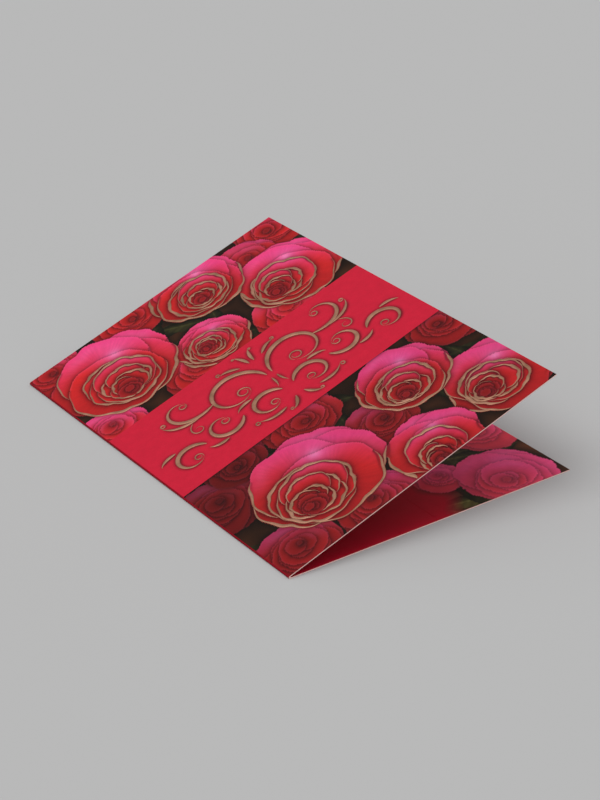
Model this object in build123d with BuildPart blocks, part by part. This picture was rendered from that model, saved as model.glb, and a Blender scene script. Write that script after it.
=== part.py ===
from build123d import *
import os
from math import atan2, cos, log, pi, radians, sin

# A greeting card: one sheet of board, creased and folded once, lying on its back page with
# the cover standing a little open. The cover carries a printed band between two printed
# fields of blossoms, with raised foil on the petals' rims and a foil scroll in the band.
# Inside, a flowered strip is printed along the back page's free edge.
# The fold runs along Y at the low-X side, and Z is up from the back page's underside.

# Driving dimensions, in millimetres and degrees
card_height = 180.0  # along the fold
card_width = 120.0  # folded, from the fold's nose to the free edges
board_thickness = 0.35
fold_inner_radius = 0.15
score_bead_radius = 0.28  # the ridge that the scoring rule raises inside the fold
opening_angle = 19.2  # of the cover over the back page
film_thickness = 0.04  # printed and laminated film
foil_thickness = 0.12  # stamped foil, raised over the film
band_height = 52.2
band_shift = 2.7  # of the band's middle over the card's middle
page_strip_width = 58.0  # flowered ground along the back page's free edge
blossom_radius = 26.0  # of the largest blossom
rim_width = 1.4  # widest place of a foiled petal rim
scroll_pitch = 17.6  # from curl to curl of the scroll's row
scroll_row_drop = 8.8  # of that row, below the band's middle
scroll_width = 2.2  # widest place of the scroll's widest stroke

# Petal rings of a blossom that are foiled, from the outside in: petals, reach of their rims
# as a share of the blossom's, turn in half pitches, the smallest blossom that has them, as a
# share of the largest, and how near to the sunny heading a petal of them has no foil
petal_rings = ((5, 1.0, 0, 0.0, 60), (4, 0.62, 2, 0.8, 0))
sunny_heading = 60.0  # side of every blossom that is drawn in the light
cusp_share = 0.94  # how far out two petals of a ring cross, as a share of its reach
rim_share = 0.78  # of each rim that is foiled
rim_fullness = 0.6  # most that a rim's width may be, as a share of how far it bulges

# Blossoms of a field, lowest first: place across and along the field as shares of it,
# radius as a share of the largest one's, and turn. A lit one also has how far its heart
# leans across and along, as shares of its own radius.
upper_dim_blossoms = (
    (0.05, 0.97, 0.62, 12),
    (0.40, 1.00, 0.69, 40),
    (0.99, 0.93, 0.73, 5),
    (0.80, 0.72, 0.58, 33),
    (0.38, 0.08, 0.58, 60),
    (0.03, 0.05, 0.58, 20),
    (0.74, 0.03, 0.62, 50),
)
upper_lit_blossoms = (
    (0.85, 0.37, 0.85, 50, -0.50, -0.35),
    (0.62, 0.80, 0.79, 10, -0.15, -0.50),
    (0.49, 0.22, 0.60, 75, -0.30, -0.10),
    (0.20, 0.54, 1.00, 30, -0.05, -0.60),
)
lower_dim_blossoms = (
    (0.03, 0.74, 0.65, 12),
    (0.42, 0.95, 0.62, 40),
    (0.99, 0.93, 0.65, 5),
    (0.56, 0.52, 0.54, 33),
    (0.07, 0.09, 0.65, 15),
    (0.34, 0.03, 0.62, 60),
    (0.18, 0.98, 0.50, 20),
)
lower_lit_blossoms = (
    (0.91, 0.28, 0.81, 45, -0.50, -0.25),
    (0.60, 0.14, 0.69, 85, -0.25, -0.55),
    (0.73, 0.72, 0.73, 25, -0.30, -0.55),
    (0.30, 0.48, 1.00, 60, -0.45, -0.45),
)
page_blossoms = (
    (0.62, 0.68, 0.77, 20),
    (0.88, 0.24, 0.62, 70),
    (0.30, 0.13, 0.40, 25),
    (0.66, 0.06, 0.73, 50),
)

# Foil scroll, right half. A stroke starts across and up from the ornament's middle and has a
# length, all in shares of the curls' pitch, then its heading, the turning that it would make
# at the start's rate and at the end's, its width as a share of the widest, and how far along
# it swells.
row_curls = 3
curl_strokes = (
    (0.14, -0.04, 1.74, 64, -190, -400, 0.95, 0.32),
    (0.72, 0.30, 0.50, 8, -20, -100, 0.68, 0.40),
)
crest_strokes = (
    (0.07, 0.15, 2.95, 86, -180, -440, 1.00, 0.33),
    (1.28, 0.44, 1.90, -20, 55, 440, 0.82, 0.38),
    (1.74, 0.32, 0.95, 4, 9, 150, 0.68, 0.40),
    (0.06, 0.83, 0.50, 84, 0, -60, 0.68, 0.45),
    (0.28, 0.87, 0.50, 46, -9, -105, 0.68, 0.45),
    (0.10, -0.94, 0.46, -70, 10, 90, 0.68, 0.45),
    (0.42, -1.09, 0.70, -14, 20, 110, 0.64, 0.40),
)
arc_turn = 80.0  # most that one arc of a stroke's edge turns, about
least_arcs = 1  # of a stroke's edge
arc_half_steps = 12  # steps along a stroke for half an arc

# Sizes that follow
fold_outer_radius = fold_inner_radius + board_thickness
fold_x = fold_outer_radius - card_width / 2
fold_z = fold_outer_radius
panel_length = card_width - fold_outer_radius

# Fields of blossoms, two on the cover and one inside: their ends across and along
upper_field = (0, panel_length, band_shift + band_height / 2, card_height / 2)
lower_field = (0, panel_length, -card_height / 2, band_shift - band_height / 2)
page_field = (card_width / 2 - page_strip_width, card_width / 2, -card_height / 2, card_height / 2)


def fold_point(radius, angle):
    """Point of the section on a circle about the fold's centre, at an angle from +X."""
    return (fold_x + radius * cos(radians(angle)), fold_z + radius * sin(radians(angle)))


def cover_point(height, along):
    """Point of the section at a height over the fold's centre, square to the cover."""
    tilt = radians(opening_angle)
    return (
        fold_x + along * cos(tilt) - height * sin(tilt),
        fold_z + along * sin(tilt) + height * cos(tilt),
    )


def cover_plane(height):
    """Plane over the cover's outer face: X away from the fold and Y along it."""
    x, z = cover_point(fold_outer_radius + height, 0)
    return Plane((x, 0, z), x_dir=(cos(radians(opening_angle)), 0, sin(radians(opening_angle))),
                 z_dir=(-sin(radians(opening_angle)), 0, cos(radians(opening_angle))))


def placed(field, blossoms):
    """Blossoms of a field: place, reach and whatever else the table gives."""
    left, right, low, high = field
    return [
        (
            (left + (right - left) * across, low + (high - low) * along),
            blossom_radius * share,
            *rest,
        )
        for across, along, share, *rest in blossoms
    ]


def flower_outline(reach, turn):
    """Outline of a blossom: the arcs of its outer ring of petals, from cusp to cusp."""
    count = petal_rings[0][0]
    cusp = reach * cusp_share
    with BuildSketch() as outline:
        with BuildLine():
            for petal in range(count):
                heading = radians(turn + 360 * petal / count)
                start = heading - pi / count
                end = heading + pi / count
                ThreePointArc(
                    (cusp * cos(start), cusp * sin(start)),
                    (reach * cos(heading), reach * sin(heading)),
                    (cusp * cos(end), cusp * sin(end)),
                )
        make_face()
    return outline.sketch


def outlines(blossoms):
    """Outlines of several blossoms as one field of colour."""
    with BuildSketch() as field:
        for place, reach, turn, *lean in blossoms:
            with Locations(place):
                add(flower_outline(reach, turn))
    return field.sketch


def petal_rim(reach, count):
    """Crescent along one petal's rim, from short of one cusp to short of the other.

    The petal's circle passes through its outermost point and both cusps. The crescent's
    edges are arcs between the same two points of it. The outer one is that circle, and
    the inner one lies a rim's width inside it at the middle.
    """
    cusp_x = reach * cusp_share * cos(pi / count)
    cusp_y = reach * cusp_share * sin(pi / count)
    radius = ((reach - cusp_x) ** 2 + cusp_y**2) / (2 * (reach - cusp_x))
    swing = rim_share * atan2(cusp_y, cusp_x - reach + radius)
    tip_x = reach - radius + radius * cos(swing)
    tip_y = radius * sin(swing)
    width = min(rim_width, rim_fullness * (reach - tip_x))
    with BuildSketch() as rim:
        with BuildLine():
            ThreePointArc((tip_x, -tip_y), (reach, 0), (tip_x, tip_y))
            ThreePointArc((tip_x, tip_y), (reach - width, 0), (tip_x, -tip_y))
        make_face()
    return rim.sketch


def flower_rims(reach, turn, lean_across, lean_along):
    """Rims of a blossom's petal rings. A ring leans further the smaller its reach is."""
    with BuildSketch() as rims:
        for count, share, half_pitches, least_blossom, bare_angle in petal_rings:
            if reach >= least_blossom * blossom_radius:
                lean = reach * (1 - share)
                with Locations((lean * lean_across, lean * lean_along)):
                    for petal in range(count):
                        heading = turn + (half_pitches + 2 * petal) * 180 / count
                        off_sun = abs((heading - sunny_heading + 180) % 360 - 180)
                        if off_sun >= bare_angle:
                            with PolarLocations(0, 1, start_angle=heading):
                                add(petal_rim(reach * share, count))
    return rims.sketch


def scroll_stroke(length, turn_start, turn_end, width, swell):
    """Foil stroke along a line whose turning grows evenly, swelling from a point and back.

    The heading is the start's turning times the share gone, plus half the growth in turning
    times that share squared. The width is half a sine wave along the stroke, drawn out so
    that its top comes where the stroke swells. Both edges are chains of arcs.
    """
    arcs = least_arcs + round(abs(turn_start + turn_end) / 2 / arc_turn)
    steps = 2 * arcs * arc_half_steps
    rounding = log(0.5) / log(swell)
    x, y = 0.0, 0.0
    left, right = [(x, y)], [(x, y)]
    for step in range(1, steps + 1):
        share = (step - 0.5) / steps
        heading = radians(turn_start * share + (turn_end - turn_start) * share**2 / 2)
        x += length / steps * cos(heading)
        y += length / steps * sin(heading)
        if step % arc_half_steps == 0:
            half = width / 2 * sin(pi * (step / steps) ** rounding)
            left.append((x - half * sin(heading), y + half * cos(heading)))
            right.append((x + half * sin(heading), y - half * cos(heading)))
    with BuildSketch() as stroke:
        with BuildLine():
            for arc in range(0, 2 * arcs, 2):
                ThreePointArc(left[arc], left[arc + 1], left[arc + 2])
                ThreePointArc(right[arc], right[arc + 1], right[arc + 2])
        make_face()
    return stroke.sketch


def scroll_half():
    """Right half of the scroll: the crest's strokes, and a row of curls that alternate."""
    strokes = list(crest_strokes)
    drop = scroll_row_drop / scroll_pitch
    for curl in range(row_curls):
        flip = 1 if curl % 2 == 0 else -1
        for across, up, length, heading, turn_start, turn_end, width, swell in curl_strokes:
            strokes.append((
                across + curl, flip * up - drop, length, flip * heading,
                flip * turn_start, flip * turn_end, width, swell,
            ))
    with BuildSketch() as half:
        for across, up, length, heading, turn_start, turn_end, width, swell in strokes:
            with Locations((scroll_pitch * across, scroll_pitch * up)):
                add(
                    scroll_stroke(
                        scroll_pitch * length, turn_start, turn_end, scroll_width * width, swell
                    ),
                    rotation=heading,
                )
    return half.sketch


# The board: back page, fold, cover and the ridge inside the crease
with BuildPart() as card:
    with BuildSketch(Plane.XZ):
        with BuildLine():
            middle = 180 + opening_angle / 2
            Line(fold_point(fold_outer_radius, 270), (card_width / 2, 0))
            Line((card_width / 2, 0), (card_width / 2, board_thickness))
            Line((card_width / 2, board_thickness), fold_point(fold_inner_radius, 270))
            ThreePointArc(
                fold_point(fold_inner_radius, 270),
                fold_point(fold_inner_radius, middle),
                cover_point(fold_inner_radius, 0),
            )
            Line(cover_point(fold_inner_radius, 0), cover_point(fold_inner_radius, panel_length))
            Line(
                cover_point(fold_inner_radius, panel_length),
                cover_point(fold_outer_radius, panel_length),
            )
            Line(cover_point(fold_outer_radius, panel_length), cover_point(fold_outer_radius, 0))
            ThreePointArc(
                cover_point(fold_outer_radius, 0),
                fold_point(fold_outer_radius, middle),
                fold_point(fold_outer_radius, 270),
            )
        make_face()
        with Locations((fold_x, fold_z)):
            Circle(score_bead_radius)
    extrude(amount=card_height / 2, both=True)

# The cover's layout, drawn flat
lit = placed(upper_field, upper_lit_blossoms) + placed(lower_field, lower_lit_blossoms)
dim = placed(upper_field, upper_dim_blossoms) + placed(lower_field, lower_dim_blossoms)
with BuildSketch() as cover_fields:
    for left, right, low, high in (upper_field, lower_field):
        with Locations(((left + right) / 2, (low + high) / 2)):
            Rectangle(right - left, high - low)

with BuildSketch() as lit_outlines:
    add(outlines(lit))
    add(cover_fields.sketch, mode=Mode.INTERSECT)

with BuildSketch() as dim_outlines:
    add(outlines(dim))
    add(cover_fields.sketch, mode=Mode.INTERSECT)
    add(lit_outlines.sketch, mode=Mode.SUBTRACT)

# A blossom hides the rims of those that lie lower
with BuildSketch() as petal_rims:
    for number, (place, reach, turn, lean_across, lean_along) in enumerate(lit):
        with Locations(place):
            if number > 0:
                add(flower_outline(reach, turn), mode=Mode.SUBTRACT)
            add(flower_rims(reach, turn, lean_across, lean_along))
    add(cover_fields.sketch, mode=Mode.INTERSECT)

with BuildSketch() as scroll:
    with Locations((panel_length / 2, band_shift)):
        add(scroll_half())
    mirror(about=Plane.YZ.offset(panel_length / 2))

# Print on the cover: a dark ground all over, and on it the band and the blossoms
with BuildPart() as ground_print:
    with BuildSketch(cover_plane(0)):
        with Locations((panel_length / 2, 0)):
            Rectangle(panel_length, card_height)
    extrude(amount=film_thickness)

with BuildPart() as band_print:
    with BuildSketch(cover_plane(film_thickness)):
        with Locations((panel_length / 2, band_shift)):
            Rectangle(panel_length, band_height)
    extrude(amount=film_thickness)

with BuildPart() as blossom_print:
    with BuildSketch(cover_plane(film_thickness)):
        add(lit_outlines.sketch)
    extrude(amount=film_thickness)

with BuildPart() as dim_blossom_print:
    with BuildSketch(cover_plane(film_thickness)):
        add(dim_outlines.sketch)
    extrude(amount=film_thickness)

# Foil, stamped over the print: the petals' rims and the scroll in the band
with BuildPart() as foil:
    with BuildSketch(cover_plane(2 * film_thickness)):
        add(petal_rims.sketch)
        add(scroll.sketch)
    extrude(amount=foil_thickness)

# Print on the back page's inside: a strip of dark ground along its free edge, with blossoms
with BuildPart() as page_ground_print:
    with BuildSketch(Plane.XY.offset(board_thickness)):
        with Locations(((card_width - page_strip_width) / 2, 0)):
            Rectangle(page_strip_width, card_height)
    extrude(amount=film_thickness)

with BuildPart() as page_blossom_print:
    with BuildSketch(Plane.XY.offset(board_thickness + film_thickness)):
        add(outlines(placed(page_field, page_blossoms)))
        with Locations(((card_width - page_strip_width) / 2, 0)):
            Rectangle(page_strip_width, card_height, mode=Mode.INTERSECT)
    extrude(amount=film_thickness)

os.makedirs("parts", exist_ok=True)
nodes = {
    "card": card,
    "ground_print": ground_print,
    "band_print": band_print,
    "blossom_print": blossom_print,
    "dim_blossom_print": dim_blossom_print,
    "foil": foil,
    "page_ground_print": page_ground_print,
    "page_blossom_print": page_blossom_print,
}
for name, node in nodes.items():
    node.part.label = name
    export_step(node.part, f"parts/{name}.step")
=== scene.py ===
import bpy
import numpy as np
from mathutils import Matrix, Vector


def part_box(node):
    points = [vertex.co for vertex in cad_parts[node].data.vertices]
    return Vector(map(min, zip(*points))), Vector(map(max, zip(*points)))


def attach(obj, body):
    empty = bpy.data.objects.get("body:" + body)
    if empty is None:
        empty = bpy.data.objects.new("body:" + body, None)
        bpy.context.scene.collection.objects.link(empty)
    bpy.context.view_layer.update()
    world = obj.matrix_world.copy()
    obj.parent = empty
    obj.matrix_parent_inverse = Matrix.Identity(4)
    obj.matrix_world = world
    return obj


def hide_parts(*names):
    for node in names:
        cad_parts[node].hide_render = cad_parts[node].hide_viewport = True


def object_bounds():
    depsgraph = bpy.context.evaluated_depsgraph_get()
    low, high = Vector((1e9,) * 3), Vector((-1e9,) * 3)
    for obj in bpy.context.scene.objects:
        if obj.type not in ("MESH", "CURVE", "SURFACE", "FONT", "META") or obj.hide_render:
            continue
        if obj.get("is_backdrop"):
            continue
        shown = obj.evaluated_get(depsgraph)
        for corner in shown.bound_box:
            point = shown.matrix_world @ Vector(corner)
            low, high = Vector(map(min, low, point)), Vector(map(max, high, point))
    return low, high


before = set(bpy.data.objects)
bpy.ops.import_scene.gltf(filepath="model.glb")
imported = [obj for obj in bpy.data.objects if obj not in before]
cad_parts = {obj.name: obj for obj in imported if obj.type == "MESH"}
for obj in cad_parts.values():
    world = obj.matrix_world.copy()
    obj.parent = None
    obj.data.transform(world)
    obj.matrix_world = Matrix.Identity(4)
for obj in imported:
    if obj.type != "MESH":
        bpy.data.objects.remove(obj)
cad_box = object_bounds()
card_low, card_high = (np.array(corner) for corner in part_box("card"))


# Camera. The photograph was taken from in front and to the left of the fold, a little above
# the table. The view was solved from the card's corners: the middle of the fold line lies
# across and below the middle of the picture, at a distance from the lens.
camera_azimuth = np.radians(-33.07)
camera_elevation = np.radians(27.17)
camera_roll = np.radians(-2.36)
camera_distance = 0.8264
fold_in_view = np.array((-0.05416, -0.02659))
focal_length_px = 2307.0
picture_height_px = 800.0
sensor_mm = 36.0

fold_middle = np.array((card_low[0], 0.0, 0.0))
backward = np.array((
    np.sin(camera_azimuth) * np.cos(camera_elevation),
    -np.cos(camera_azimuth) * np.cos(camera_elevation),
    np.sin(camera_elevation),
))
level_right = np.cross((0.0, 0.0, 1.0), backward)
level_right /= np.linalg.norm(level_right)
level_up = np.cross(backward, level_right)
rightward = level_right * np.cos(camera_roll) + level_up * np.sin(camera_roll)
upward = level_up * np.cos(camera_roll) - level_right * np.sin(camera_roll)
lens_point = fold_middle - fold_in_view[0] * rightward - fold_in_view[1] * upward
lens_point = lens_point + camera_distance * backward

camera = bpy.data.objects.new("camera", bpy.data.cameras.new("camera"))
bpy.context.scene.collection.objects.link(camera)
turned = Matrix(np.column_stack((rightward, upward, backward)).tolist()).to_4x4()
camera.matrix_world = Matrix.Translation(lens_point) @ turned
camera.data.sensor_width = sensor_mm
camera.data.lens = sensor_mm * focal_length_px / picture_height_px
camera.data.clip_start = 0.01
bpy.context.scene.camera = camera
bpy.context.scene.view_settings.view_transform = "Standard"


# Studio. A plain pale grey table and background of one tone, lit softly from all round and
# a little more from the upper left, at the level at which a colour renders as written.
table_grey = (184, 184, 184)
table_reach = 6.0
world_light = 0.61
key_strength = 1.35
key_spread = np.radians(50)
key_from = np.array((-0.35, 0.15, 0.92))


def linear(levels):
    """Linear colour of display levels from 0 to 255: the display curve undone, per channel."""
    share = np.array(levels, float) / 255
    return np.where(share <= 0.04045, share / 12.92, ((share + 0.055) / 1.055) ** 2.4)


def opaque(levels):
    """The same for a colour socket, which also takes an opacity."""
    return (*linear(levels), 1)


def node_maker(tree):
    """A function that adds one node to a tree, with its settings and its inputs' values or
    wires."""
    def node(kind, inputs=(), **settings):
        made = tree.nodes.new(kind)
        for key, value in settings.items():
            setattr(made, key, value)
        for key, value in dict(inputs).items():
            if isinstance(value, bpy.types.NodeSocket):
                tree.links.new(value, made.inputs[key])
            else:
                made.inputs[key].default_value = value
        return made

    return node


def wire(output, socket):
    """Wire an output to a socket of a node that is already there."""
    socket.id_data.links.new(output, socket)


def plain_shader(name):
    """A new material, its shader, and the function that adds nodes to it."""
    material = bpy.data.materials.new(name)
    material.use_nodes = True
    shader = material.node_tree.nodes["Principled BSDF"]
    return material, shader, node_maker(material.node_tree)


table_mesh = bpy.data.meshes.new("table")
corners = np.array(((-1, -1, 0), (1, -1, 0), (1, 1, 0), (-1, 1, 0))) * table_reach
table_mesh.from_pydata(corners.tolist(), [], [(0, 1, 2, 3)])
table = bpy.data.objects.new("table", table_mesh)
bpy.context.scene.collection.objects.link(table)
table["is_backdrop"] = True
table_paper, shader, node = plain_shader("table_paper")
shader.inputs["Base Color"].default_value = opaque(table_grey)
shader.inputs["Roughness"].default_value = 0.9
shader.inputs["Specular IOR Level"].default_value = 0.1
table_mesh.materials.append(table_paper)

world = bpy.data.worlds.new("studio")
bpy.context.scene.world = world
world.use_nodes = True
node = node_maker(world.node_tree)
lighting = world.node_tree.nodes["Background"]
lighting.inputs["Color"].default_value = (1, 1, 1, 1)
lighting.inputs["Strength"].default_value = world_light
backdrop = node("ShaderNodeBackground", {"Color": opaque(table_grey)})
rays = node("ShaderNodeLightPath").outputs
seen = rays["Is Camera Ray"]
for kind in ("Is Glossy Ray", "Is Transmission Ray"):
    seen = node("ShaderNodeMath", {0: seen, 1: rays[kind]}, operation="MAXIMUM").outputs[0]
studio = node("ShaderNodeMixShader", {0: seen, 1: lighting.outputs[0], 2: backdrop.outputs[0]})
wire(studio.outputs[0], world.node_tree.nodes["World Output"].inputs["Surface"])

key = bpy.data.objects.new("key_light", bpy.data.lights.new("key_light", "SUN"))
bpy.context.scene.collection.objects.link(key)
key.data.energy = key_strength
key.data.angle = key_spread
key_direction = key_from / np.linalg.norm(key_from)
key_side = np.cross((0.0, 1.0, 0.0), key_direction)
key_side /= np.linalg.norm(key_side)
key_turned = np.column_stack((key_side, np.cross(key_direction, key_side), key_direction))
key.matrix_world = Matrix(key_turned.tolist()).to_4x4()


# Folded board. One sheet of white board, coated, printed deep red and laminated, then scored,
# cut and folded once. The pale core shows at the cut edges and on the score's bead inside the
# fold. The other bare sides are red, with painted shade making them darker round the fold.
board_thickness = 0.00035
fold_outer_radius = 0.0005
opening_angle = np.radians(19.2)
fold_darkness = 0.45
fold_shade_radii = (0.6, 2.0)
core_facing_end = 0.5
core_facing_away = 0.6
board_roughness = 0.48
laminate_gloss = 0.07
dark_red = (166, 9, 33)
light_red = (184, 13, 41)
dark_core = (250, 188, 180)
light_core = (255, 224, 218)


def two_tone(node, factor, low, low_colour, high, high_colour):
    """Colour that goes evenly from one display colour to another as a factor rises from low
    to high, and stays the same beyond them."""
    ramp = node("ShaderNodeValToRGB", {"Fac": factor})
    first, last = ramp.color_ramp.elements
    first.position = low
    first.color = opaque(low_colour)
    last.position = high
    last.color = opaque(high_colour)
    return ramp.outputs["Color"]


def fine_relief(node, shader, height, strength, distance):
    """Bump of a fine pattern, as deep as the distance at full strength."""
    relief = node("ShaderNodeBump", {"Height": height, "Strength": strength, "Distance": distance})
    wire(relief.outputs["Normal"], shader.inputs["Normal"])


# A face shows the core if its normal points enough along the fold, or away from it
printed_board, shader, node = plain_shader("printed_board")
place = node("ShaderNodeTexCoord").outputs["Object"]
normal = node("ShaderNodeNewGeometry").outputs["True Normal"]
sides = node("ShaderNodeSeparateXYZ", {"Vector": normal}).outputs
along_fold = node("ShaderNodeMath", {0: sides["Y"]}, operation="ABSOLUTE").outputs[0]
end = node("ShaderNodeMath", {0: along_fold, 1: core_facing_end}, operation="GREATER_THAN")
edge = node("ShaderNodeMath", {0: sides["X"], 1: core_facing_away}, operation="GREATER_THAN")
cut = node("ShaderNodeMath", {0: end.outputs[0], 1: edge.outputs[0]}, operation="MAXIMUM")
cloud = node("ShaderNodeTexNoise", {"Vector": place, "Scale": 60.0, "Detail": 3.0}).outputs["Fac"]
even_red = two_tone(node, cloud, 0.3, dark_red, 0.7, light_red)
# Painted shade: the red darkens towards the fold's nose and into its crease
shade_start, shade_end = (card_low[0] + radii * fold_outer_radius for radii in fold_shade_radii)
fold_shade = node("ShaderNodeMapRange", {
    "Value": node("ShaderNodeSeparateXYZ", {"Vector": place}).outputs["X"],
    "From Min": shade_start, "From Max": shade_end, "To Min": 1 - fold_darkness, "To Max": 1.0,
}).outputs["Result"]
board_red = node("ShaderNodeVectorMath", {0: even_red, "Scale": fold_shade}, operation="SCALE")
fibre = node("ShaderNodeTexNoise", {"Vector": place, "Scale": 4000.0, "Detail": 2.0}).outputs["Fac"]
core = two_tone(node, fibre, 0.35, dark_core, 0.6, light_core)
board_colour = node("ShaderNodeMix", {
    0: cut.outputs[0], 6: board_red.outputs["Vector"], 7: core,
}, data_type="RGBA")
wire(board_colour.outputs[2], shader.inputs["Base Color"])
shader.inputs["Roughness"].default_value = board_roughness
shader.inputs["Specular IOR Level"].default_value = laminate_gloss
fine_relief(node, shader, fibre, 0.12, 0.0001)

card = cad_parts["card"]
card.data.materials.clear()
card.data.materials.append(printed_board)


# Flower print. The two flowered fields of the cover, above and below the band: four-colour
# print under satin laminate, bonded to the board. The motif is worked out here: rosettes of
# round petals, some in full light and some dim behind them, over dark leaves.
film_thickness = 0.00004
print_height = 2 * film_thickness
print_roughness = 0.5
band_height = 0.0522
band_shift = 0.0027
print_cell = 0.00036
blossom_radius = 0.026

cover_length = card_high[0] - card_low[0] - fold_outer_radius
card_top = card_high[1]
band_low = band_shift - band_height / 2
band_high = band_shift + band_height / 2
upper_field = (0, cover_length, band_high, card_top)
lower_field = (0, cover_length, -card_top, band_low)

# Across and along a field as shares of it, radius as a share of the largest, turn in degrees,
# lean of the heart across and along as shares of the radius, pinkness and light. The lit
# ones carry foil.
upper_dim_blossoms = (
    (0.05, 0.97, 0.62, 12, 0.20, -0.20, 0.00, 0.90),
    (0.40, 1.00, 0.69, 40, 0.00, -0.30, 0.00, 0.96),
    (0.99, 0.93, 0.73, 5, -0.30, -0.20, 0.30, 0.96),
    (0.80, 0.72, 0.58, 33, 0.20, 0.10, -0.20, 0.88),
    (0.38, 0.08, 0.58, 60, 0.20, 0.20, 0.00, 0.92),
    (0.03, 0.05, 0.58, 20, 0.20, 0.30, 0.10, 0.98),
    (0.74, 0.03, 0.62, 50, 0.10, 0.30, 0.10, 0.98),
)
upper_lit_blossoms = (
    (0.85, 0.37, 0.85, 50, -0.50, -0.35, 0.20, 1.0),
    (0.62, 0.80, 0.79, 10, -0.15, -0.50, 0.05, 1.0),
    (0.49, 0.22, 0.60, 75, -0.30, -0.10, 0.00, 1.0),
    (0.20, 0.54, 1.00, 30, -0.05, -0.60, -0.08, 1.0),
)
lower_dim_blossoms = (
    (0.03, 0.74, 0.65, 12, 0.20, 0.20, -0.10, 0.58),
    (0.42, 0.95, 0.62, 40, 0.10, -0.20, 0.00, 0.84),
    (0.99, 0.93, 0.65, 5, -0.30, -0.10, 0.10, 0.86),
    (0.56, 0.52, 0.54, 33, 0.20, 0.10, -0.10, 0.74),
    (0.07, 0.09, 0.65, 15, 0.25, 0.25, -0.15, 0.74),
    (0.34, 0.03, 0.62, 60, 0.00, 0.30, 0.10, 0.80),
    (0.18, 0.98, 0.50, 20, 0.00, -0.30, 0.00, 0.60),
)
lower_lit_blossoms = (
    (0.91, 0.28, 0.81, 45, -0.50, -0.25, 0.05, 1.0),
    (0.60, 0.14, 0.69, 85, -0.25, -0.55, 0.10, 1.0),
    (0.73, 0.72, 0.73, 25, -0.30, -0.55, 0.15, 1.0),
    (0.30, 0.48, 1.00, 60, -0.45, -0.45, 0.00, 1.0),
)
# Petals of a ring, its reach as a share of the blossom's, turn in half pitches, how far out
# its petals cross, the most that a blossom with it may lean, and whether a dim one has it
petal_rings = (
    (5, 1.0, 0, 0.94, 1.00, True),
    (5, 0.80, 1, 0.94, 0.45, False),
    (4, 0.62, 2, 0.94, 1.00, True),
    (4, 0.46, 3, 0.84, 1.00, False),
    (3, 0.33, 4, 0.80, 1.00, True),
    (3, 0.21, 5, 0.80, 1.00, False),
    (2, 0.11, 7, 0.80, 1.00, True),
)
reach_stray = 0.09  # of the loosest petals' reach
heading_stray = 14  # degrees, of the loosest petals
point_height = 0.10  # of an inner petal's tip, as a share of its radius
rim_margin = 1.1  # radii within which a petal's points are looked for
shade_reach = 0.008  # how much further those beside it are
farthest = 0.03  # way out where no higher petal is near
rim_width = 0.0014
least_foil_width = 0.0002
least_foiled_share = 0.3  # reach of the smallest ring with foil, as a share of the blossom's
sunny_heading = np.radians(60)
sunny_side = np.array((np.cos(sunny_heading), np.sin(sunny_heading)))

petal_red = np.array((210, 36, 38))
petal_pink = np.array((222, 56, 114))
covered_crimson = np.array((134, 12, 18))
glow_pink = np.array((236, 106, 180))
gleam_pink = np.array((250, 180, 222))
sheen_pink = np.array((240, 124, 180))
rim_pink = np.array((238, 100, 134))
ground_brown = np.array((57, 31, 17))
leaf_green = np.array((42, 38, 20))
leaf_middle_lift = np.array((30, 28, 14))
leaf_vein_lift = np.array((8, 10, 5))
leaf_rib_lift = np.array((20, 22, 12))

petal_form = np.dtype([(field, float) for field in (
    "x", "y", "heading", "radius", "heart_x", "heart_y", "reach", "share", "tone", "light",
    "wave_a", "wave_b", "wave_c", "mood",
)])


def placed(field, blossoms):
    """Blossoms of one field, with their shares of it turned into distances."""
    left, right, low, high = field
    return [
        (left + (right - left) * across, low + (high - low) * along, blossom_radius * share, *rest)
        for across, along, share, *rest in blossoms
    ]


def blossom_petals(blossoms, seed):
    """Every petal of the blossoms, lowest first, as one table of circles.

    A petal is a circle through its tip, which lies at its ring's reach, and the two points
    where it crosses its neighbours. A ring's middle leans further the smaller the ring is,
    and its petals stray more. Five petals are laid in two rounds, every other one first.
    """
    chance = np.random.default_rng(seed)
    rows = []
    for heart_x, heart_y, reach, turn, lean_x, lean_y, tone, light in blossoms:
        for count, share, half_pitches, cusp, most_lean, on_dim in petal_rings:
            if np.hypot(lean_x, lean_y) > most_lean or (light < 1 and not on_dim):
                continue
            loose = min(half_pitches / 3, 1)
            crossing = np.pi / max(count, 3)
            cusp_x = cusp * np.cos(crossing)
            cusp_y = cusp * np.sin(crossing)
            step = 2 if count == 5 else 1
            for petal in range(count):
                ring_reach = reach * share * (1 + reach_stray * loose * chance.standard_normal())
                radius = ring_reach * ((1 - cusp_x) ** 2 + cusp_y**2) / (2 * (1 - cusp_x))
                heading = turn + (half_pitches + 2 * (petal * step % count)) * 180 / count
                heading = np.radians(heading + heading_stray * loose * chance.standard_normal())
                out = ring_reach - radius
                rows.append((
                    heart_x + lean_x * (1 - share) * reach + out * np.cos(heading),
                    heart_y + lean_y * (1 - share) * reach + out * np.sin(heading),
                    heading, radius, heart_x, heart_y, reach, share, tone, light,
                    *chance.uniform(0, 2 * np.pi, 3), chance.standard_normal(),
                ))
    return np.array(rows, petal_form)


def petal_rim(petal, angle):
    """Radius of a petal's rim at an angle from its heading.

    The petal's circle, ruffled by three waves. An outer petal is nicked a little near its
    tip, and an inner one is drawn out to a soft point there.
    """
    ruffle = 0.028 * np.sin(2 * angle + petal["wave_a"])
    ruffle = ruffle + 0.022 * np.sin(5 * angle + petal["wave_b"])
    ruffle = ruffle + 0.012 * np.sin(11 * angle + petal["wave_c"])
    from_tip = np.abs(angle - 0.15 * np.sin(petal["wave_c"]))
    tip = np.where(
        petal["share"] < 0.6,
        point_height * np.exp(-from_tip / 0.35) - 0.06 * np.cos(2 * from_tip),
        -0.045 * np.exp(-((from_tip / 0.13) ** 2)),
    )
    return petal["radius"] * (1 + ruffle + tip)


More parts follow.
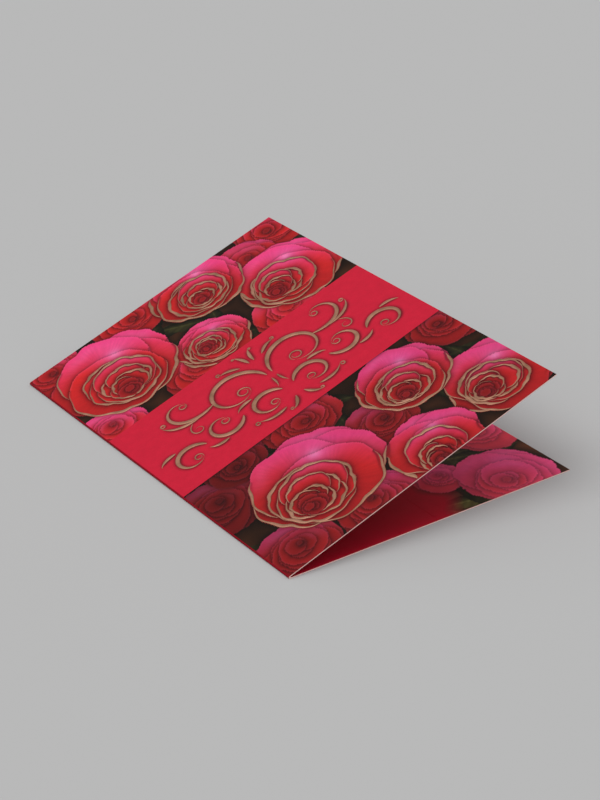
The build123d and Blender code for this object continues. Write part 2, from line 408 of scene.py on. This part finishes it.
def inside_petal(petal, x, y):
    """Distance inward from a petal's rim, and the angle from its heading, of each point."""
    across, along = x - petal["x"], y - petal["y"]
    angle = (np.arctan2(along, across) - petal["heading"] + np.pi) % (2 * np.pi) - np.pi
    return petal_rim(petal, angle) - np.hypot(across, along), angle


def petals_at(petals, x, y):
    """Topmost petal at each point, the way in from its rim, its angle, and the way to the
    nearest petal that lies over it.

    A petal is worked out only at the points within a margin over its radius, and the shade
    beside it only at those a little further off.
    """
    top = np.full(x.shape, -1)
    way_in = np.zeros(x.shape)
    angle = np.zeros(x.shape)
    way_out = np.full(x.shape, farthest)
    for number, petal in enumerate(petals):
        close = np.hypot(x - petal["x"], y - petal["y"]) < rim_margin * petal["radius"]
        close = np.flatnonzero(close)
        inward, turned_by = inside_petal(petal, x[close], y[close])
        mine = inward > 0
        top[close[mine]] = number
        way_in[close[mine]] = inward[mine]
        angle[close[mine]] = turned_by[mine]
    for number, petal in enumerate(petals):
        reach = rim_margin * petal["radius"] + shade_reach
        close = np.hypot(x - petal["x"], y - petal["y"]) < reach
        close = np.flatnonzero(close & (top < number))
        inward, turned_by = inside_petal(petal, x[close], y[close])
        way_out[close] = np.minimum(way_out[close], -inward)
    return top, way_in, angle, way_out


def foil_width(petal, angle):
    """Width of the foil along a rim: a share of its blossom's reach, less on inner rings, and
    uneven by two waves round the rim. The outer rings have none on the sunny side."""
    widest = np.minimum(rim_width, 0.086 * petal["reach"] * (0.55 + 0.45 * petal["share"]))
    uneven = 0.60 + 0.40 * np.cos(1.3 * angle + 0.8 * np.sin(petal["wave_a"]))
    sunny = np.cos(angle + petal["heading"] - sunny_heading) + 0.2 * np.sin(petal["wave_b"])
    covered = np.where(petal["share"] > 0.7, np.clip((0.4 - sunny) / 0.3, 0, 1), 1)
    return widest * uneven * covered * (1 + 0.22 * np.sin(7 * angle + petal["wave_c"]))


def blend(one, other, share):
    """Colours from one to the other by a share for each point."""
    return one + (other - one) * share[:, None]


def leafy_ground(x, y, field, seed, leaf_count=36, leaf_size=1.0):
    """Display colours of the dark ground and its leaves.

    The ground's shade is two crossed waves. A leaf is where the way off its midrib is less
    than a parabola along it, narrower to the tip, with a paler midrib and slanting veins.
    """
    left, right, low, high = field
    shade = 0.5 + 0.25 * np.sin(310 * x + 2 * np.sin(170 * y))
    shade = shade + 0.25 * np.sin(270 * y + 2 * np.sin(210 * x + 1))
    colour = np.outer(0.7 + 0.5 * shade, ground_brown)
    chance = np.random.default_rng(seed)
    for leaf in range(leaf_count):
        middle_x = chance.uniform(left, right)
        middle_y = chance.uniform(low, high)
        length = leaf_size * chance.uniform(0.008, 0.014)
        heading = chance.uniform(0, 2 * np.pi)
        across, along = x - middle_x, y - middle_y
        u = (across * np.cos(heading) + along * np.sin(heading)) / length
        v = (along * np.cos(heading) - across * np.sin(heading)) / length
        half_width = np.maximum(0.30 * (1 - u * u) * (1 - 0.25 * u), 1e-6)
        on = (np.abs(u) < 1) & (np.abs(v) < half_width)
        off_rib = np.abs(v[on]) / half_width[on]
        vein = 0.5 + 0.5 * np.sin(22 * (u[on] - 0.9 * np.abs(v[on])))
        green = leaf_green + np.outer(1 - off_rib, leaf_middle_lift)
        green = green + np.outer(vein, leaf_vein_lift) + np.outer(off_rib < 0.1, leaf_rib_lift)
        lit_side = 0.75 + 0.25 * v[on] / half_width[on]
        colour[on] = green * lit_side[:, None]
    return colour


def petal_print(petals, x, y, ground):
    """Display colours of the blossoms over a ground, and the topmost petal at each point.

    A blossom is pink on its sunny side, with a broad pale glow there, and red away from it.
    Each petal deepens to crimson where the next petal covers it, least on the sunny side, has
    fine veins along it, and is shaded beside the petals over it and beside its foil. A dim
    blossom is darker all over.
    """
    top, way_in, angle, way_out = petals_at(petals, x, y)
    colour = ground * (1 - 0.6 * np.exp(-way_out / 0.0025))[:, None]
    on = top >= 0
    petal = petals[top[on]]
    way_in, angle, way_out, x, y = way_in[on], angle[on], way_out[on], x[on], y[on]

    # Hue: from red to pink, crimson under the next petal, glow, gleam, sheen and paler rim
    depth = way_in / (way_in + np.minimum(way_out, 0.014) + 1e-9)
    off_x = (x - petal["heart_x"]) / petal["reach"]
    off_y = (y - petal["heart_y"]) / petal["reach"]
    facing = sunny_side[0] * off_x + sunny_side[1] * off_y
    sunny = np.clip(0.25 + 0.95 * facing, 0, 1)
    turned_up = np.cos(petal["heading"] - sunny_heading)
    pinkness = 0.95 * facing + 0.15 * turned_up + 0.25 * (1 - depth) + petal["tone"]
    pinkness = pinkness - 1.0 * (1 - petal["light"]) + 0.12 * petal["mood"]
    pinkness = pinkness - 0.5 * np.exp(-((petal["share"] / 0.3) ** 2))
    body = blend(petal_red, petal_pink, np.clip(pinkness, 0, 1))
    body = blend(body, covered_crimson, 0.46 * depth**2 * (1 - 0.6 * sunny))
    from_glow = (off_x - 0.5 * sunny_side[0]) ** 2 + (off_y - 0.5 * sunny_side[1]) ** 2
    glow = np.exp(-from_glow / 0.10) * np.clip(2 * petal["share"] - 0.9, 0.15, 1)
    body = blend(body, glow_pink, 0.58 * glow * petal["light"] ** 3)
    gleam = np.exp(-from_glow / 0.010) * (petal["light"] >= 1)
    body = blend(body, gleam_pink, 0.40 * gleam)
    band = (way_in - 0.22 * petal["radius"]) / (0.16 * petal["radius"])
    sheen = np.exp(-(band**2)) * np.exp(-((angle / 0.7) ** 2)) * sunny
    body = blend(body, sheen_pink, 0.30 * sheen)
    body = blend(body, rim_pink, 0.25 * np.exp(-((way_in / 0.0005) ** 2)))

    # Brightness: veins, the shade of higher petals and of the foil, the far side and the heart
    vein = np.sin(46 * angle + 3 * np.sin(9 * angle + petal["wave_b"]))
    vein = vein * np.clip(way_in / 0.004, 0, 1) * (1 - 0.5 * depth)
    beside = 0.40 * np.exp(-way_out / 0.0007) + 0.10 * np.exp(-way_out / 0.004)
    beside = 1 - beside * (1 - 0.5 * sunny)
    stamped = (petal["light"] >= 1) & (petal["share"] > least_foiled_share)
    width = foil_width(petal, angle)
    # Painted shadow of the raised foil on the petal just inside it, most on the side away from the
    # light
    foil_shadow = np.exp(-(((way_in - width) / 0.0005) ** 2)) * (width > least_foil_width)
    away = angle + petal["heading"]
    foil_shadow = foil_shadow * np.clip(0.25 + 0.6 * np.cos(away) + 0.8 * np.sin(away), 0, 1)
    beside = beside * (1 - 0.5 * stamped * foil_shadow)
    round_off = np.clip((np.hypot(off_x, off_y) - 0.6) / 0.4, 0, 1) * np.clip(0.5 - facing, 0, 1)
    heart = 1 - 0.42 * np.exp(-((petal["share"] / 0.28) ** 2))
    tone = (1 + 0.025 * vein) * beside * (1 - 0.24 * round_off) * heart * petal["light"]
    colour[on] = body * tone[:, None]
    return colour, top


def on_cover(across, along, height):
    """Points over the cover's outer face: away from the fold, along it and square to it."""
    rise = fold_outer_radius + height
    return np.stack((
        card_low[0] + fold_outer_radius + across * np.cos(opening_angle) - rise * np.sin(opening_angle),
        along,
        fold_outer_radius + across * np.sin(opening_angle) + rise * np.cos(opening_angle),
    ), -1)


def on_page(across, along, height):
    """Points over the back page's inside: away from the fold, along it and up."""
    level = board_thickness + height + 0 * across
    return np.stack((card_low[0] + fold_outer_radius + across, along, level), -1)


def field_grid(field, cell):
    """Evenly spaced places across a field and along it, about a cell apart."""
    left, right, low, high = field
    across = np.linspace(left, right, 1 + round((right - left) / cell))
    along = np.linspace(low, high, 1 + round((high - low) / cell))
    return across, along


def all_points(across, along):
    """Every pair of a place across and a place along, row by row."""
    grid_x, grid_y = np.meshgrid(across, along)
    return grid_x.ravel(), grid_y.ravel()


def film(name, place, across, along, height, colours):
    """Closed film of printed laminate over a rectangle: a grid on top with a colour at each
    point, walls of triangles down to four corners, and one face below."""
    columns, rows = len(across), len(along)
    top = place(*all_points(across, along), height)
    feet = place(across[[0, -1, -1, 0]], along[[0, 0, -1, -1]], 0.0)
    number = np.arange(columns * rows).reshape(rows, columns)
    quads = np.stack((number[:-1, :-1], number[:-1, 1:], number[1:, 1:], number[1:, :-1]), -1)
    faces = quads.reshape(-1, 4).tolist()
    rims = (number[0], number[:, -1], number[-1, ::-1], number[::-1, 0])
    for side, rim in enumerate(rims):
        foot, next_foot = number.size + side, number.size + (side + 1) % 4
        faces += [(foot, last, first) for first, last in zip(rim[:-1].tolist(), rim[1:].tolist())]
        faces.append((foot, next_foot, int(rim[-1])))
    faces.append(tuple(number.size + side for side in (3, 2, 1, 0)))
    mesh = bpy.data.meshes.new(name)
    mesh.from_pydata(np.concatenate((top, feet)).tolist(), [], faces)
    shades = np.ones((number.size + 4, 4))
    shades[:number.size, :3] = linear(np.clip(colours, 0, 255))
    shades[number.size:, :3] = shades[number[[0, 0, -1, -1], [0, -1, -1, 0]], :3]
    ink = mesh.color_attributes.new("ink", "FLOAT_COLOR", "POINT")
    ink.data.foreach_set("color", shades.astype(np.float32).ravel())
    piece = bpy.data.objects.new(name, mesh)
    bpy.context.scene.collection.objects.link(piece)
    return piece


laminated_print, shader, node = plain_shader("laminated_print")
place = node("ShaderNodeTexCoord").outputs["Object"]
ink = node("ShaderNodeVertexColor", layer_name="ink").outputs["Color"]
speck = node("ShaderNodeTexNoise", {"Vector": place, "Scale": 2600.0, "Detail": 2.0}).outputs["Fac"]
mottle = node("ShaderNodeTexNoise", {"Vector": place, "Scale": 320.0, "Detail": 4.0}).outputs["Fac"]
both = node("ShaderNodeMath", {0: speck, 1: mottle}, operation="ADD").outputs[0]
level = node("ShaderNodeMapRange", {
    "Value": both, "From Min": 0.7, "From Max": 1.3, "To Min": 0.93, "To Max": 1.07,
}).outputs["Result"]
tinted = node("ShaderNodeVectorMath", {0: ink, "Scale": level}, operation="SCALE")
wire(tinted.outputs["Vector"], shader.inputs["Base Color"])
shader.inputs["Roughness"].default_value = print_roughness
shader.inputs["Specular IOR Level"].default_value = laminate_gloss
fine_relief(node, shader, speck, 0.15, 0.00005)

upper_petals = blossom_petals(placed(upper_field, upper_dim_blossoms + upper_lit_blossoms), seed=7)
lower_petals = blossom_petals(placed(lower_field, lower_dim_blossoms + lower_lit_blossoms), seed=8)

# The lower field is also darker along the band
band_shadow = 0.5
band_shadow_fade = 0.0007
for name, field, petals, seed, lightness in (
    ("upper_flower_print", upper_field, upper_petals, 3, 1.04),
    ("lower_flower_print", lower_field, lower_petals, 4, 0.96),
):
    across, along = field_grid(field, print_cell)
    x, y = all_points(across, along)
    colours, _ = petal_print(petals, x, y, leafy_ground(x, y, field, seed))
    colours = colours * lightness
    if field is lower_field:
        shadow = band_shadow * np.exp(-(band_low - y) / band_shadow_fade)
        colours = colours * (1 - shadow)[:, None]
    flowers = film(name, on_cover, across, along, print_height, colours)
    flowers.data.materials.append(laminated_print)
    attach(flowers, "root")
    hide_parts("ground_print", "blossom_print", "dim_blossom_print")


# Foil on the petals. Matt bronze foil, hot-stamped along the petals' rims of the lit
# blossoms, where no other petal covers them. Each line swells from nothing and tapers off.
foil_height = 0.00012
foil_full_height_width = 0.0004  # a narrower line is lower
foil_tip_width = 0.00008
foil_inset = 0.0002  # from the edge of a field
rim_step = 0.0005
rim_least_length = 0.0065
rim_least_points = 4
foil_roughness = 0.5
dark_bronze = (150, 108, 83)
light_bronze = (184, 135, 110)
section_share = np.array((0.0, 0.12, 0.5, 0.88, 1.0))
section_rise = np.array((0.0, 0.78, 1.0, 0.78, 0.0))


def foil_lines(name, lines, base):
    """Closed ribbons of foil. Each line is its two edges, and at each pair of points a low
    domed section goes from one to the other; both ends are closed."""
    points, faces, start = [], [], 0
    size = len(section_share)
    for outer, inner, height in lines:
        outer, inner = outer[:, None, :], inner[:, None, :]
        flat = outer + (inner - outer) * section_share[None, :, None]
        rise = base + height[:, None] * section_rise[None, :]
        points.append(on_cover(flat[..., 0].ravel(), flat[..., 1].ravel(), rise.ravel()))
        number = start + np.arange(len(flat) * size).reshape(-1, size)
        after = np.roll(number, -1, 1)
        sides = np.stack((number[:-1], number[1:], after[1:], after[:-1]), -1)
        faces += sides.reshape(-1, 4).tolist()
        faces.append(number[0].tolist())
        faces.append(number[-1, ::-1].tolist())
        start += number.size
    mesh = bpy.data.meshes.new(name)
    mesh.from_pydata(np.concatenate(points).tolist(), [], faces)
    mesh.shade_smooth()
    piece = bpy.data.objects.new(name, mesh)
    bpy.context.scene.collection.objects.link(piece)
    return piece


def runs_of(kept):
    """Number of the first point of every stretch of kept points, and of the one after it."""
    edges = np.flatnonzero(np.diff(np.concatenate(((0,), kept.astype(int), (0,)))))
    return zip(edges[::2], edges[1::2])


def visible_rims(petals, field):
    """Edges and height of the foil along each lit petal's rim, where it shows.

    The outer edge is the rim, and the inner one lies the foil's width towards the petal's
    middle. The width rises and falls along a run as the root of half a sine wave.
    """
    left, right, low, high = field
    lines = []
    for number, petal in enumerate(petals):
        if petal["light"] < 1 or petal["share"] < least_foiled_share:
            continue
        count = int(2 * np.pi * petal["radius"] / rim_step)
        angle = np.linspace(-np.pi, np.pi, count)
        rim = petal_rim(petal, angle)
        way = angle + petal["heading"]
        x = petal["x"] + rim * np.cos(way)
        y = petal["y"] + rim * np.sin(way)
        shown = (x > left + foil_inset) & (x < right - foil_inset)
        shown &= (y > low + foil_inset) & (y < high - foil_inset)
        shown &= foil_width(petal, angle) > least_foil_width
        for later in petals[number + 1:]:
            apart = np.hypot(later["x"] - petal["x"], later["y"] - petal["y"])
            if apart < rim_margin * (later["radius"] + petal["radius"]):
                inward, _ = inside_petal(later, x, y)
                shown &= inward < 0
        for first, end in runs_of(shown):
            if (end - first) * rim_step < rim_least_length or end - first < rim_least_points:
                continue
            run = slice(first, end)
            taper = np.sin(np.pi * np.linspace(0, 1, end - first)) ** 0.5
            width = np.maximum(foil_width(petal, angle[run]) * taper, foil_tip_width)
            edge = np.stack((x[run], y[run]), -1)
            outward = np.stack((np.cos(way[run]), np.sin(way[run])), -1)
            height = foil_height * np.minimum(1, width / foil_full_height_width)
            lines.append((edge, edge - outward * width[:, None], height))
    return lines


bronze_foil, shader, node = plain_shader("bronze_foil")
place = node("ShaderNodeTexCoord").outputs["Object"]
cloud = node("ShaderNodeTexNoise", {"Vector": place, "Scale": 200.0, "Detail": 4.0}).outputs["Fac"]
bronze = two_tone(node, cloud, 0.35, dark_bronze, 0.65, light_bronze)
wire(bronze, shader.inputs["Base Color"])
shader.inputs["Metallic"].default_value = 0.75
shader.inputs["Roughness"].default_value = foil_roughness
grit = node("ShaderNodeTexNoise", {"Vector": place, "Scale": 5000.0, "Detail": 2.0}).outputs["Fac"]
fine_relief(node, shader, grit, 0.3, 0.00005)

rims = visible_rims(upper_petals, upper_field) + visible_rims(lower_petals, lower_field)
petal_foil = foil_lines("petal_foil", rims, print_height)
petal_foil.data.materials.append(bronze_foil)
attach(petal_foil, "root")
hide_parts("foil")


# Band and scroll. A plain field of red print across the cover, and stamped in it, with the
# same foil, a symmetrical ornament of tapering strokes that curl up at their ends. A painted
# shadow of the raised foil darkens the print round each stroke.
band_red = (196, 27, 53)
# Painted shadow of the raised foil on the print round each stroke
foil_shadow_darkness = 0.45
foil_shadow_fade = 0.0008
foil_shadow_reach = 0.002
foil_shadow_side = np.array((0.4, -0.9))
foil_shadow_full_width = 0.0010
scroll_height = 0.00014
scroll_full_height_width = 0.0005
scroll_step = 0.0004
scroll_step_turn = 9
scroll_pitch = 0.0176
scroll_row_drop = 0.0088
scroll_width = 0.0022
row_curls = 3
# Right half: start across and up from the ornament's middle and length, all in pitches of the
# row of curls, heading in degrees, turning if it were as at the start and as at the end, width
# as a share of the widest, and how far along that is
curl_strokes = (
    (0.14, -0.04, 1.74, 64, -190, -400, 0.95, 0.32),
    (0.72, 0.30, 0.50, 8, -20, -100, 0.68, 0.40),
    (0.417, -0.315, 0.62, 130, -300, -560, 0.26, 0.45),
)
crest_strokes = (
    (0.07, 0.15, 2.95, 86, -180, -440, 1.00, 0.33),
    (1.28, 0.44, 1.90, -20, 55, 440, 0.82, 0.38),
    (1.74, 0.32, 0.95, 4, 9, 150, 0.68, 0.40),
    (0.06, 0.83, 0.50, 84, 0, -60, 0.68, 0.45),
    (0.28, 0.87, 0.50, 46, -9, -105, 0.68, 0.45),
    (0.10, -0.94, 0.46, -70, 10, 90, 0.68, 0.45),
    (0.42, -1.09, 0.70, -14, 20, 110, 0.64, 0.40),
    (0.613, 0.016, 1.05, 137, -330, -640, 0.30, 0.45),
    (1.726, 1.055, 0.60, 227, 300, 600, 0.26, 0.45),
    (2.483, 0.777, 0.50, 83, 420, 900, 0.24, 0.40),
    (1.070, -0.966, 0.50, 51, -420, -900, 0.24, 0.40),
    (0.712, 1.077, 0.42, -11, 420, 900, 0.24, 0.40),
    (0.375, -1.289, 0.36, -20, 420, 900, 0.22, 0.40),
    (0.196, 1.305, 0.30, 54, -500, -1000, 0.20, 0.40),
    (1.95, 0.30, 0.90, -30, -60, -700, 0.28, 0.35),
    (0.07, 0.02, 0.40, -88, -10, 70, 0.40, 0.40),
)
scroll_strokes = list(crest_strokes)
for curl in range(row_curls):
    flip = 1 if curl % 2 == 0 else -1
    for across, up, length, heading, turn_start, turn_end, width, swell in curl_strokes:
        scroll_strokes.append((
            across + curl, flip * up - scroll_row_drop / scroll_pitch, length, flip * heading,
            flip * turn_start, flip * turn_end, width, swell,
        ))


def scroll_line(side, stroke):
    """Edges and height of one stroke, whose turning grows evenly and which swells and tapers.

    The heading is the start's turning times the share gone, plus half the growth in turning
    times that share squared. The width is half a sine wave along the stroke, drawn out so
    that its top comes where the stroke swells.
    """
    across, up, length, heading, turn_start, turn_end, widest, swell = stroke
    turning = abs(turn_start + turn_end) / 2
    steps = int(scroll_pitch * length / scroll_step + turning / scroll_step_turn)
    share = (np.arange(steps) + 0.5) / steps
    way = np.radians(heading + turn_start * share + (turn_end - turn_start) * share**2 / 2)
    x = scroll_pitch * (across + np.cumsum(np.cos(way)) * length / steps)
    y = scroll_pitch * (up + np.cumsum(np.sin(way)) * length / steps)
    rounding = np.log(0.5) / np.log(swell)
    width = scroll_width * widest * np.sin(np.pi * share**rounding)
    width = np.maximum(width, foil_tip_width)
    half = width[:, None] / 2 * np.stack((-np.sin(way), np.cos(way)), -1)
    line = np.stack((x, y), -1)
    mirror = np.array((side, 1.0))
    middle = np.array((cover_length / 2, band_shift))
    left, right = (line + half) * mirror + middle, (line - half) * mirror + middle
    edges = (right, left) if side > 0 else (left, right)
    return (*edges, scroll_height * np.minimum(1, width / scroll_full_height_width))


def foil_shadow_edge(lines, x, y):
    """Painted shadow of the raised foil, as how much darker the print is at each point: most at
    the side of a stroke that faces down and to the right, less beside a fine one, fading out over a
    millimetre."""
    dark = np.zeros(x.shape)
    for one, another, _ in lines:
        for edge, other in ((one, another), (another, one)):
            away = edge - other
            length = np.linalg.norm(away, axis=1) + 1e-9
            facing = np.clip(away @ foil_shadow_side / length, 0, 1)
            low, high = edge.min(0) - foil_shadow_reach, edge.max(0) + foil_shadow_reach
            close = (x > low[0]) & (x < high[0]) & (y > low[1]) & (y < high[1])
            close = np.flatnonzero(close)
            gap = np.hypot(x[close, None] - edge[None, :, 0], y[close, None] - edge[None, :, 1])
            nearest = gap.argmin(1)
            gap = gap[np.arange(len(close)), nearest]
            here = (0.55 + 0.45 * facing[nearest]) * np.exp(-((gap / foil_shadow_fade) ** 2))
            here = here * np.clip(length[nearest] / foil_shadow_full_width, 0.2, 1)
            dark[close] = np.maximum(dark[close], here)
    return dark


strokes = [scroll_line(side, stroke) for side in (1, -1) for stroke in scroll_strokes]
band_foil = foil_lines("band_foil", strokes, print_height)
band_foil.data.materials.append(bronze_foil)
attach(band_foil, "root")
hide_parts("foil")

across, along = field_grid((0, cover_length, band_low, band_high), print_cell)
x, y = all_points(across, along)
# Painted shadow of the raised foil darkens the band's red round each stroke
colours = np.outer(1 - foil_shadow_darkness * foil_shadow_edge(strokes, x, y), band_red)
band_film = film("band_film", on_cover, across, along, print_height, colours)
band_film.data.materials.append(laminated_print)
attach(band_film, "root")
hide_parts("band_print")


# Inside print. A flowered strip along the free edge of the back page's inside, in the same
# print as the cover but duller and more even, which fades into the deep red towards the fold.
page_strip_width = 0.058
page_cell = 0.0005
page_red = np.array((175, 11, 37))
page_haze_pink = np.array((206, 84, 126))
page_haze = 0.45
page_ground_light = 1.65
page_blossom_light = 1.32
page_fade_start = 0.005
page_fade_width = 0.009
page_blossoms = (
    (0.62, 0.68, 0.77, 20, -0.2, 0.1, 0.4, 0.95),
    (0.88, 0.24, 0.62, 70, -0.2, 0.1, 0.4, 0.98),
    (0.30, 0.13, 0.40, 25, 0.2, 0.2, 0.4, 0.98),
    (0.66, 0.06, 0.73, 50, -0.1, -0.2, 0.6, 0.96),
)
page_field = (cover_length - page_strip_width, cover_length, -card_top, card_top)
across, along = field_grid(page_field, page_cell)
x, y = all_points(across, along)
leaves = leafy_ground(x, y, page_field, seed=76, leaf_count=70, leaf_size=1.3)
petals = blossom_petals(placed(page_field, page_blossoms), seed=9)
colours, top = petal_print(petals, x, y, page_ground_light * leaves)
flowered = top >= 0
colours[flowered] *= page_blossom_light
colours = blend(colours, page_haze_pink, page_haze * flowered)

# The strip fades along a wavy line, and the blossoms fade in a third of the width
wavy = 0.003 * np.sin(140 * y) + 0.002 * np.sin(390 * y + 1)
strip = np.clip((x - page_field[0] - page_fade_start - wavy) / page_fade_width, 0, 1)
strip = np.where(flowered, np.clip(3 * strip, 0, 1), strip)
colours = blend(page_red, colours, strip)
page_print = film("page_print", on_page, across, along, film_thickness, colours)
page_print.data.materials.append(laminated_print)
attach(page_print, "root")
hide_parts("page_ground_print", "page_blossom_print")

corners = [[list(map(float, corner)) for corner in box] for box in (cad_box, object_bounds())]
